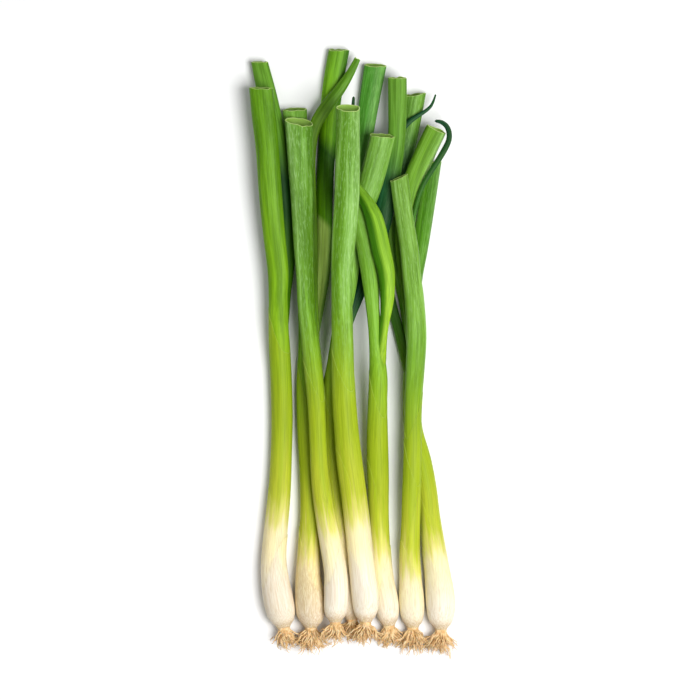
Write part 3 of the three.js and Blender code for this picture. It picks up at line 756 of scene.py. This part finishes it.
class Nodes:
    """Short ways to add nodes to a tree."""

    def __init__(self, tree):
        self.tree = tree

    def new(self, kind, inputs=None, **settings):
        """A node with its settings, whose inputs are then linked or set."""
        node = self.tree.nodes.new(kind)
        for key, value in settings.items():
            setattr(node, key, value)
        self.feed(node, inputs or {})
        return node

    def feed(self, node, inputs):
        """Links inputs to the sockets given for them, and sets the others to constants."""
        for key, value in inputs.items():
            if isinstance(value, bpy.types.NodeSocket):
                self.tree.links.new(value, node.inputs[key])
            else:
                node.inputs[key].default_value = value

    def first(self, kind, inputs=None, **settings):
        """The first output of a new node."""
        return self.new(kind, inputs, **settings).outputs[0]

    def math(self, operation, a, b=0.0, c=0.0, clamp=False):
        inputs = {0: a, 1: b, 2: c}
        return self.first("ShaderNodeMath", inputs, operation=operation, use_clamp=clamp)

    def vector(self, operation, a, b):
        return self.first("ShaderNodeVectorMath", {0: a, 1: b}, operation=operation)

    def scaled(self, vector, scale):
        inputs = {0: vector, "Scale": scale}
        return self.first("ShaderNodeVectorMath", inputs, operation="SCALE")

    def combine(self, x=0.0, y=0.0, z=0.0):
        return self.first("ShaderNodeCombineXYZ", {0: x, 1: y, 2: z})

    def mix(self, share, a, b, blend="MIX"):
        inputs = {0: share, 6: a, 7: b}
        return self.new("ShaderNodeMix", inputs, data_type="RGBA", blend_type=blend).outputs[2]

    def range(self, value, low, high, to_low=0.0, to_high=1.0):
        inputs = {0: value, 1: low, 2: high, 3: to_low, 4: to_high}
        return self.first("ShaderNodeMapRange", inputs, interpolation_type="SMOOTHSTEP")

    def noise(self, vector, stretch, scale, detail, roughness=0.5):
        grain = self.first("ShaderNodeMapping", {"Vector": vector, "Scale": stretch})
        inputs = {"Vector": grain, "Scale": scale, "Detail": detail, "Roughness": roughness}
        return self.new("ShaderNodeTexNoise", inputs).outputs["Fac"]

    def bump(self, strength, distance, height):
        inputs = {"Strength": strength, "Distance": distance, "Height": height}
        return self.first("ShaderNodeBump", inputs)

    def ramp(self, value, stops):
        """A colour ramp through stops of a place and an sRGB colour."""
        node = self.new("ShaderNodeValToRGB", {0: value})
        node.color_ramp.interpolation = "EASE"
        elements = node.color_ramp.elements
        while len(elements) > 1:
            elements.remove(elements[-1])
        elements[0].position = stops[0][0]
        elements[0].color = linear(*stops[0][1])
        for place, colour in stops[1:]:
            elements.new(place).color = linear(*colour)
        return node.outputs[0]

    def attribute(self, name, output):
        return self.new("ShaderNodeAttribute", attribute_name=name).outputs[output]


def group(name, inputs, outputs, kind="ShaderNodeTree"):
    """A node group with its input sockets (name, kind, default) and outputs (name, kind)."""
    tree = bpy.data.node_groups.new(name, kind)
    for label, socket_kind, default in inputs:
        socket_type = "NodeSocket" + socket_kind
        socket = tree.interface.new_socket(label, in_out="INPUT", socket_type=socket_type)
        if default is not None:
            socket.default_value = default
    for label, socket_kind in outputs:
        tree.interface.new_socket(label, in_out="OUTPUT", socket_type="NodeSocket" + socket_kind)
    nodes = Nodes(tree)
    return nodes, nodes.new("NodeGroupInput").outputs, nodes.new("NodeGroupOutput")


def streaks_group():
    """Fine lengthwise veins, broad streaks and short flecks, from the grain attribute."""
    outputs = [(label, "Float") for label in PATTERNS]
    nodes, given, result = group("Lengthwise Streaks", [("Grain", "Vector", None)], outputs)
    for label, (stretch, scale, detail, roughness) in PATTERNS.items():
        pattern = nodes.noise(given["Grain"], (1, 1, stretch), scale, detail, roughness)
        nodes.feed(result, {label: pattern})
    return nodes.tree


def skin_colour_group():
    """White shank, lime band and green blade, with streaks, waxy bloom and pale cut rims."""
    masks = [(label, "Float", 0.0) for label in ("Bloom", "Inside", "Rim", "Tan", "Streak")]
    patterns = [(label, "Float", 0.5) for label in PATTERNS]
    inputs = [("Blade", "Color", (0.2, 0.4, 0.05, 1)), ("Green", "Float", 1.0), *masks, *patterns]
    nodes, given, result = group("Onion Skin Colour", inputs, [("Color", "Color")])
    veins, streaks, flecks = (given[label] for label in PATTERNS)

    # How green it is here, uneven along the veins where white turns to green
    swing = nodes.math("MULTIPLY_ADD", streaks, 0.5, -0.25)
    swing = nodes.math("ADD", swing, nodes.math("MULTIPLY_ADD", veins, 0.36, -0.18))
    middle = nodes.math("ABSOLUTE", nodes.math("SUBTRACT", given["Green"], 0.35))
    middle = nodes.range(middle, 0.0, 0.4, 1.0, 0.0)
    level = nodes.math("MULTIPLY_ADD", swing, middle, given["Green"])
    dark = nodes.mix(1.0, given["Blade"], linear(*STREAK_TINT), "MULTIPLY")
    blade = nodes.mix(nodes.range(streaks, 0.36, 0.62), dark, given["Blade"])
    colour = nodes.mix(nodes.range(level, 0.62, 0.96), nodes.ramp(level, BAND), blade)

    # Wax in flecks and broad streaks, and the pale streak along one side, which is waxy bloom and
    # on right-hand sides also a painted highlight
    wax = nodes.math("MULTIPLY", nodes.range(flecks, 0.5, 0.68), given["Bloom"])
    broad = nodes.math("MULTIPLY", nodes.range(streaks, 0.5, 0.75), given["Bloom"])
    side = nodes.math("MULTIPLY", nodes.range(flecks, 0.25, 0.65, 0.35, 1.0), given["Streak"])
    wax = nodes.math("ADD", nodes.math("ADD", wax, broad), nodes.math("MULTIPLY", side, 1.2))
    colour = nodes.mix(nodes.math("MULTIPLY", wax, 0.5, clamp=True), colour, linear(*WAX))

    # Veins, the hollow's inside, the cut rim and dry skin
    line = nodes.mix(nodes.range(level, 0.1, 0.5), linear(*SHANK_VEIN), linear(*LEAF_VEIN))
    colour = nodes.mix(nodes.range(veins, 0.36, 0.6, 0.32, 0.0), colour, line, "MULTIPLY")
    colour = nodes.mix(given["Inside"], colour, linear(*INSIDE))
    colour = nodes.mix(given["Rim"], colour, linear(*RIM))
    tan = nodes.math("MULTIPLY", given["Tan"], nodes.range(flecks, 0.35, 0.6, 0.25, 0.9))
    nodes.feed(result, {"Color": nodes.mix(tan, colour, linear(*TAN))})
    return nodes.tree


def new_material(name):
    material = bpy.data.materials.new(name)
    material.use_nodes = True
    return material, Nodes(material.node_tree), material.node_tree.nodes["Principled BSDF"]


def plant_material(name, patterns, skin, gloss, dry):
    """Onion skin whose roughness lies in the range named gloss; dry skin has brown veins."""
    material, nodes, shader = new_material(name)
    grain = {"Grain": nodes.attribute("grain", "Vector")}
    lines = nodes.new("ShaderNodeGroup", grain, node_tree=patterns).outputs
    facts = {label: lines[label] for label in PATTERNS}
    facts["Blade"] = nodes.attribute("blade", "Color")
    for fact in ("green", "bloom", "inside", "rim", "tan", "streak"):
        facts[fact.capitalize()] = nodes.attribute(fact, "Fac")
    paint = nodes.new("ShaderNodeGroup", facts, node_tree=skin)
    veins, streaks, flecks = (lines[label] for label in PATTERNS)
    brown = nodes.range(veins, 0.34, 0.5, dry, 0.0)
    relief = nodes.math("ADD", veins, nodes.math("MULTIPLY", streaks, 1.4))
    nodes.feed(shader, {
        "Base Color": nodes.mix(brown, paint.outputs["Color"], linear(*BROWN_VEIN)),
        "Roughness": nodes.range(flecks, 0.3, 0.75, *gloss),
        "Normal": nodes.bump(0.5, 0.00025, relief),
        "Subsurface Weight": 0.18,
        "Subsurface Radius": (0.9, 1.0, 0.35),
        "Subsurface Scale": 0.0025,
        "Specular IOR Level": 0.08,
    })
    return material


def root_material():
    material, nodes, shader = new_material("onion_roots")
    place = nodes.new("ShaderNodeTexCoord").outputs["Object"]
    blotch = nodes.noise(place, (1, 1, 1), 420.0, 3.0)
    fine = nodes.noise(place, (1, 0.3, 1), 2400.0, 2.0)
    speckle = nodes.math("MULTIPLY", fine, 0.3)
    mottle = nodes.math("ADD", nodes.math("MULTIPLY", blotch, 0.7), speckle)
    nodes.feed(shader, {
        "Base Color": nodes.ramp(mottle, ROOT_COLOURS),
        "Roughness": 0.7,
        "Normal": nodes.bump(0.4, 0.0002, fine),
        "Subsurface Weight": 0.1,
        "Subsurface Scale": 0.001,
        "Specular IOR Level": 0.3,
    })
    return material


def floor_material(settings):
    material, nodes, shader = new_material("stage_floor")
    colour = (*settings.floor_colour, 1.0)
    nodes.feed(shader, {"Base Color": colour, "Roughness": 0.85, "Specular IOR Level": 0.1})
    return material


# Roots


def tuft_group():
    """Geometry nodes: rootlets that grow out of a plate, fan out, wander and droop."""
    inputs = [
        ("Geometry", "Geometry", None), ("Count", "Int", 60), ("Length", "Float", 0.011),
        ("Radius", "Float", 0.0005), ("Fan", "Float", 0.8), ("Lean", "Float", 0.0),
        ("Wander", "Float", 0.011), ("Droop", "Float", 0.003), ("Seed", "Int", 1),
        ("Origin", "Vector", (0, 0, 0)), ("Material", "Material", None),
    ]
    outputs = [("Geometry", "Geometry")]
    nodes, given, result = group("Root Tuft", inputs, outputs, "GeometryNodeTree")
    plate, seed, radius = given["Geometry"], given["Seed"], given["Radius"]

    # Points on the faces that look towards the roots
    normal = nodes.first("GeometryNodeInputNormal")
    forward = nodes.new("ShaderNodeSeparateXYZ", {0: normal}).outputs[1]
    facing = nodes.math("LESS_THAN", forward, -0.5)
    face_area = nodes.first("GeometryNodeInputMeshFaceArea")
    area = nodes.new(
        "GeometryNodeAttributeStatistic",
        {"Geometry": plate, "Selection": facing, "Attribute": face_area},
        data_type="FLOAT", domain="FACE",
    )
    density = nodes.math("DIVIDE", given["Count"], area.outputs["Sum"])
    scatter = nodes.new(
        "GeometryNodeDistributePointsOnFaces",
        {"Mesh": plate, "Selection": facing, "Density": density, "Seed": seed},
        distribute_method="RANDOM",
    )

    # One rootlet along +Z, placed and turned outwards
    line = nodes.first("GeometryNodeCurvePrimitiveLine", {"End": (0, 0, 1)})
    rootlet = nodes.first("GeometryNodeResampleCurve", {"Count": 9, "Curve": line})
    place = nodes.first("GeometryNodeInputPosition")
    out = nodes.vector("MULTIPLY", nodes.vector("SUBTRACT", place, given["Origin"]), (1, 0, 1))
    fan_out = nodes.scaled(out, nodes.math("MULTIPLY", given["Fan"], 260.0))
    reach = {0: (-0.55, -0.35, -0.5), 1: (0.55, 0.45, 0.4), "Seed": seed}
    stray = nodes.first("FunctionNodeRandomValue", reach, data_type="FLOAT_VECTOR")
    ahead = nodes.combine(given["Lean"], -1.0)
    aim = nodes.vector("ADD", nodes.vector("ADD", ahead, fan_out), stray)
    turn = nodes.first("FunctionNodeAlignRotationToVector", {"Vector": aim}, axis="Z")
    lengths = {2: 0.55, 3: 1.2, "Seed": seed}
    longer = nodes.new("FunctionNodeRandomValue", lengths, data_type="FLOAT").outputs[1]
    stretch = nodes.math("MULTIPLY", longer, given["Length"])
    size = nodes.combine(stretch, stretch, stretch)
    planted = nodes.first("GeometryNodeInstanceOnPoints", {
        "Points": scatter.outputs["Points"], "Instance": rootlet, "Rotation": turn, "Scale": size,
    })
    curves = nodes.first("GeometryNodeRealizeInstances", {0: planted})

    # Wander and droop, more towards the ends, but not below the table
    share = nodes.new("GeometryNodeSplineParameter").outputs["Factor"]
    drift = nodes.new(
        "ShaderNodeTexNoise",
        {"Vector": place, "W": nodes.math("MULTIPLY", seed, 3.7), "Scale": 260.0, "Detail": 1.0},
        noise_dimensions="4D",
    ).outputs["Color"]
    sway = nodes.math("MULTIPLY", given["Wander"], nodes.math("POWER", share, 1.3))
    swing = nodes.scaled(nodes.vector("SUBTRACT", drift, (0.5, 0.5, 0.5)), sway)
    down = nodes.math("MULTIPLY", given["Droop"], -1.0)
    sag = nodes.math("MULTIPLY", nodes.math("MULTIPLY", share, share), down)
    fall = nodes.combine(z=sag)
    moved = nodes.vector("ADD", nodes.vector("ADD", place, swing), fall)
    table = nodes.math("ADD", radius, 0.0001)
    laid = nodes.vector("MAXIMUM", moved, nodes.combine(-1.0, -1.0, table))
    curves = nodes.first("GeometryNodeSetPosition", {"Geometry": curves, "Position": laid})

    # Tubes that thin out, joined to the plate
    taper = nodes.math("MULTIPLY_ADD", nodes.math("POWER", share, 1.5), -0.72, 1.0)
    thin = nodes.math("MULTIPLY", radius, taper)
    curves = nodes.first("GeometryNodeSetCurveRadius", {"Curve": curves, "Radius": thin})
    ring = nodes.first("GeometryNodeCurvePrimitiveCircle", {"Resolution": 6, "Radius": 1.0})
    sweep = {"Curve": curves, "Profile Curve": ring, "Fill Caps": True}
    tubes = nodes.new("GeometryNodeCurveToMesh", sweep)
    if "Scale" in tubes.inputs:
        nodes.feed(tubes, {"Scale": nodes.first("GeometryNodeInputRadius")})
    smooth = nodes.first("GeometryNodeSetShadeSmooth", {"Geometry": tubes.outputs[0]})
    both = nodes.new("GeometryNodeJoinGeometry", {0: smooth})
    nodes.feed(both, {0: plate})
    real = nodes.first("GeometryNodeRealizeInstances", {0: both.outputs[0]})
    dress = {"Geometry": real, "Material": given["Material"]}
    nodes.feed(result, {0: nodes.first("GeometryNodeSetMaterial", dress)})
    return nodes.tree


def plate_shell(plant):
    """The root plate, a low knob on the shank's end, and the point its rootlets fan out from."""
    tube = Tube(plant["strands"][0], 0, 1.0)
    shell = Shell(PLATE_SIDES)
    turn = shell.turn
    for ahead, radius in PLATE_RINGS:
        bumpy = 1 + 0.05 * np.cos(5 * turn + int(plant["name"])) + 0.04 * np.cos(9 * turn + ahead)
        sideways = np.cos(turn) * tube.half[0] * radius * bumpy
        upwards = np.sin(turn) * tube.rise[0] * radius * bumpy
        across = tube.centre[0] + sideways[:, None] * tube.across[0]
        shell.add(across + upwards[:, None] * tube.up[0] + ahead * tube.along[0], inside=0.0)
    origin = tube.centre[0] - ROOTS_FROM * tube.along[0]
    return shell, origin - np.append(MIDDLE, 0)


def set_input(modifier, label, value):
    """Sets a geometry nodes input by its name."""
    for item in modifier.node_group.interface.items_tree:
        if item.item_type == "SOCKET" and item.in_out == "INPUT" and item.name == label:
            modifier[item.identifier] = value
            return
    raise ValueError(f"the node group has no input named {label}")


def applied(piece):
    """A plain mesh object from one whose modifiers are then dropped."""
    graph = bpy.context.evaluated_depsgraph_get()
    graph.update()
    mesh = bpy.data.meshes.new_from_object(piece.evaluated_get(graph), depsgraph=graph)
    piece.modifiers.clear()
    old = piece.data
    piece.data = mesh
    bpy.data.meshes.remove(old)
    mesh.name = piece.name
    return piece


# The add-on

laid_plants = []
materials = {}


def bunch():
    """The laid plants, worked out once."""
    if not laid_plants:
        laid_plants.extend(lay_bunch())
    return laid_plants


def plant_leaves(plant, settings):
    """A plant's leaves with their tubes, worked out once."""
    if "tubes" not in plant:
        plant["tubes"] = [Leaf(plant, i, settings) for i in range(len(plant["leaves"]))]
    return plant["tubes"]


def shared_materials():
    if not materials:
        patterns = streaks_group()
        skin = skin_colour_group()
        materials["plant"] = plant_material("onion_plant", patterns, skin, (0.36, 0.5), 0.0)
        materials["skin"] = plant_material("onion_papery_skin", patterns, skin, (0.3, 0.42), 0.1)
        materials["roots"] = root_material()
    return materials


class SPRINGONION_PG_plants(bpy.types.PropertyGroup):
    """How finely the plants are made, and their cut ends."""

    sides: bpy.props.IntProperty(
        name="Sides", description="Faces round a stalk or a broad leaf", default=56, min=8
    )
    ring_spacing: bpy.props.FloatProperty(
        name="Ring Spacing", description="Length of the faces along a plant",
        default=0.00125, min=0.0005, unit="LENGTH",
    )
    wall: bpy.props.FloatProperty(
        name="Wall", description="Thickness of a hollow leaf",
        default=0.0006, min=0.0001, unit="LENGTH",
    )
    hollow_depth: bpy.props.FloatProperty(
        name="Hollow Depth", description="How far a cut end is open",
        default=0.026, min=0.001, unit="LENGTH",
    )
    crease_depth: bpy.props.FloatProperty(
        name="Crease Depth", description="Depth of the creases over a leaf's half width",
        default=0.07, min=0.0, max=0.3, unit="NONE",
    )
    seed: bpy.props.IntProperty(
        name="Seed", description="Picks the facets and creases", default=3, min=0
    )


class SPRINGONION_PG_skins(bpy.types.PropertyGroup):
    """The papery outer skins of the shanks."""

    length: bpy.props.FloatProperty(
        name="Length", description="How far a skin reaches up the shank",
        default=0.085, min=0.01, unit="LENGTH",
    )
    slant: bpy.props.FloatProperty(
        name="Slant", description="Share of its length over which its upper edge slants",
        default=0.7, min=0.0, max=0.95, unit="NONE",
    )
    thickness: bpy.props.FloatProperty(
        name="Thickness", description="Thickness of a skin",
        default=0.00014, min=0.00005, unit="LENGTH",
    )
    seed: bpy.props.IntProperty(
        name="Seed", description="Picks the skins' edges", default=11, min=0
    )


class SPRINGONION_PG_roots(bpy.types.PropertyGroup):
    """The tufts of rootlets."""

    count: bpy.props.IntProperty(
        name="Count", description="Rootlets on each plant", default=100, min=1
    )
    length: bpy.props.FloatProperty(
        name="Length", description="Length of a rootlet",
        default=0.0105, min=0.001, unit="LENGTH",
    )
    radius: bpy.props.FloatProperty(
        name="Radius", description="Radius of a rootlet where it grows",
        default=0.00042, min=0.0001, unit="LENGTH",
    )
    seed: bpy.props.IntProperty(name="Seed", description="Picks the rootlets", default=5, min=0)


class SPRINGONION_PG_stage(bpy.types.PropertyGroup):
    """Floor, light and camera."""

    floor_size: bpy.props.FloatProperty(
        name="Floor Size", description="Side of the floor", default=6.0, min=0.5, unit="LENGTH"
    )
    floor_colour: bpy.props.FloatVectorProperty(
        name="Floor Colour", description="Colour of the floor",
        default=(0.9, 0.9, 0.9), subtype="COLOR", min=0.0, max=1.0,
    )
    key_power: bpy.props.FloatProperty(
        name="Key Light", description="Power of the light from the right, in watts",
        default=20.0, min=0.0, unit="NONE",
    )
    fill_strength: bpy.props.FloatProperty(
        name="Fill Light", description="Strength of the light from all round",
        default=0.2, min=0.0, unit="NONE",
    )
    camera_height: bpy.props.FloatProperty(
        name="Camera Height", description="Height of the camera over the floor",
        default=2.6, min=0.3, unit="LENGTH",
    )
    view_width: bpy.props.FloatProperty(
        name="View Width", description="Width of the picture at the bunch",
        default=0.385, min=0.1, unit="LENGTH",
    )


class SPRINGONION_OT_plants(bpy.types.Operator):
    """Adds the eight plants, each a sheath with its leaves"""

    bl_idname = "springonion.plants"
    bl_label = "Plants"

    def execute(self, context):
        settings = context.scene.springonion_plants
        for plant in bunch():
            name = plant["name"]
            leaves = plant_leaves(plant, settings)
            shells = [leaf_shell(leaf, settings) for leaf in leaves] + sheath_shells(plant, leaves)
            piece = mesh_object(f"plant_{name}", shells, shared_materials()["plant"])
            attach(piece, "root")
            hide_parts(f"shank_{name}", f"leaves_{name}")
        return {"FINISHED"}


class SPRINGONION_OT_skins(bpy.types.Operator):
    """Adds the papery outer skin of each white shank"""

    bl_idname = "springonion.skins"
    bl_label = "Papery Skins"

    def execute(self, context):
        settings = context.scene.springonion_skins
        rng = np.random.default_rng(settings.seed)
        thickness = settings.thickness * MILLIMETRES
        for plant in bunch():
            leaves = plant_leaves(plant, context.scene.springonion_plants)
            main = next(leaf for leaf in leaves if leaf.carries_on)
            shells = []
            level = SHEATH_LEVEL * (len(leaves) - 1)
            for length in SKIN_LENGTHS:
                end = settings.length * MILLIMETRES * length * rng.uniform(0.85, 1.15)
                slant = end * settings.slant * rng.uniform(0.8, 1.1)
                longest = rng.choice([-0.1, 1.1]) * math.pi + rng.uniform(-0.3, 0.3)
                level += thickness
                shell = sheath_shell(main, end, slant, longest, level, thickness, SKIN_EDGE)
                shells.append(shell)
            piece = mesh_object(f"skin_{plant['name']}", shells, shared_materials()["skin"])
            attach(piece, "root")
        return {"FINISHED"}


class SPRINGONION_OT_roots(bpy.types.Operator):
    """Adds a root plate and a tuft of rootlets to each plant"""

    bl_idname = "springonion.roots"
    bl_label = "Roots"

    def execute(self, context):
        settings = context.scene.springonion_roots
        tree = tuft_group()
        for plant in bunch():
            name = plant["name"]
            shell, origin = plate_shell(plant)
            piece = mesh_object(f"roots_tuft_{name}", [shell], shared_materials()["roots"])
            modifier = piece.modifiers.new("Root Tuft", "NODES")
            modifier.node_group = tree
            inputs = {
                "Count": settings.count,
                "Length": settings.length * plant.get("root_length", 1.0),
                "Lean": plant.get("root_lean", 0.0),
                "Radius": settings.radius,
                "Seed": settings.seed + int(name),
                "Origin": tuple(origin / MILLIMETRES),
                "Material": shared_materials()["roots"],
            }
            for label, value in inputs.items():
                set_input(modifier, label, value)
            applied(piece)
            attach(piece, "root")
            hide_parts(f"roots_{name}")
        return {"FINISHED"}


class SPRINGONION_OT_stage(bpy.types.Operator):
    """Adds the floor, the lights and the camera"""

    bl_idname = "springonion.stage"
    bl_label = "Stage"

    def execute(self, context):
        settings = context.scene.springonion_stage
        half = settings.floor_size / 2
        corners = [(-half, -half, 0), (half, -half, 0), (half, half, 0), (-half, half, 0)]
        mesh = bpy.data.meshes.new("stage_floor")
        mesh.from_pydata(corners, [], [(0, 1, 2, 3)])
        mesh.materials.append(floor_material(settings))
        floor = placed("stage_floor", mesh)
        for name, place, size, share in LIGHTS:
            light = bpy.data.lights.new(name, "AREA")
            light.shape = "DISK"
            light.size = size
            light.energy = settings.key_power * share
            lamp = placed(name, light)
            lamp.location = place
            lamp.rotation_mode = "QUATERNION"
            lamp.rotation_quaternion = Vector(place).to_track_quat("Z", "Y")
        world = bpy.data.worlds.new("soft_light")
        world.use_nodes = True
        background = world.node_tree.nodes["Background"]
        background.inputs["Color"].default_value = (1, 1, 1, 1)
        background.inputs["Strength"].default_value = settings.fill_strength
        context.scene.world = world
        context.scene.view_settings.view_transform = "Standard"
        camera = bpy.data.cameras.new("camera")
        distance = settings.camera_height - BUNCH_HEIGHT
        camera.sensor_width = SENSOR_WIDTH
        camera.lens = SENSOR_WIDTH * distance / settings.view_width
        camera.clip_start, camera.clip_end = CLIPPING
        eye = placed("camera", camera)
        eye.location = (*EYE, settings.camera_height)
        context.scene.camera = eye
        return {"FINISHED"}


class SPRINGONION_PT_panel(bpy.types.Panel):
    bl_label = "Spring Onions"
    bl_idname = "SPRINGONION_PT_panel"
    bl_space_type = "VIEW_3D"
    bl_region_type = "UI"
    bl_category = "Spring Onions"

    def draw(self, context):
        for name in SETTINGS:
            box = self.layout.box()
            box.label(text=name.capitalize())
            settings = getattr(context.scene, f"springonion_{name}")
            for key in settings.__annotations__:
                box.prop(settings, key)
            box.operator(f"springonion.{name}")


SETTINGS = {
    "plants": SPRINGONION_PG_plants,
    "skins": SPRINGONION_PG_skins,
    "roots": SPRINGONION_PG_roots,
    "stage": SPRINGONION_PG_stage,
}

CLASSES = (
    *SETTINGS.values(),
    SPRINGONION_OT_plants,
    SPRINGONION_OT_skins,
    SPRINGONION_OT_roots,
    SPRINGONION_OT_stage,
    SPRINGONION_PT_panel,
)


def register():
    for cls in CLASSES:
        bpy.utils.register_class(cls)
    for name, settings in SETTINGS.items():
        pointer = bpy.props.PointerProperty(type=settings)
        setattr(bpy.types.Scene, f"springonion_{name}", pointer)


def unregister():
    for name in SETTINGS:
        delattr(bpy.types.Scene, f"springonion_{name}")
    for cls in reversed(CLASSES):
        bpy.utils.unregister_class(cls)


def main():
    register()
    bpy.ops.springonion.stage()
    bpy.ops.springonion.plants()
    bpy.ops.springonion.skins()
    bpy.ops.springonion.roots()
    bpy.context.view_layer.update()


if __name__ == "__main__":
    main()
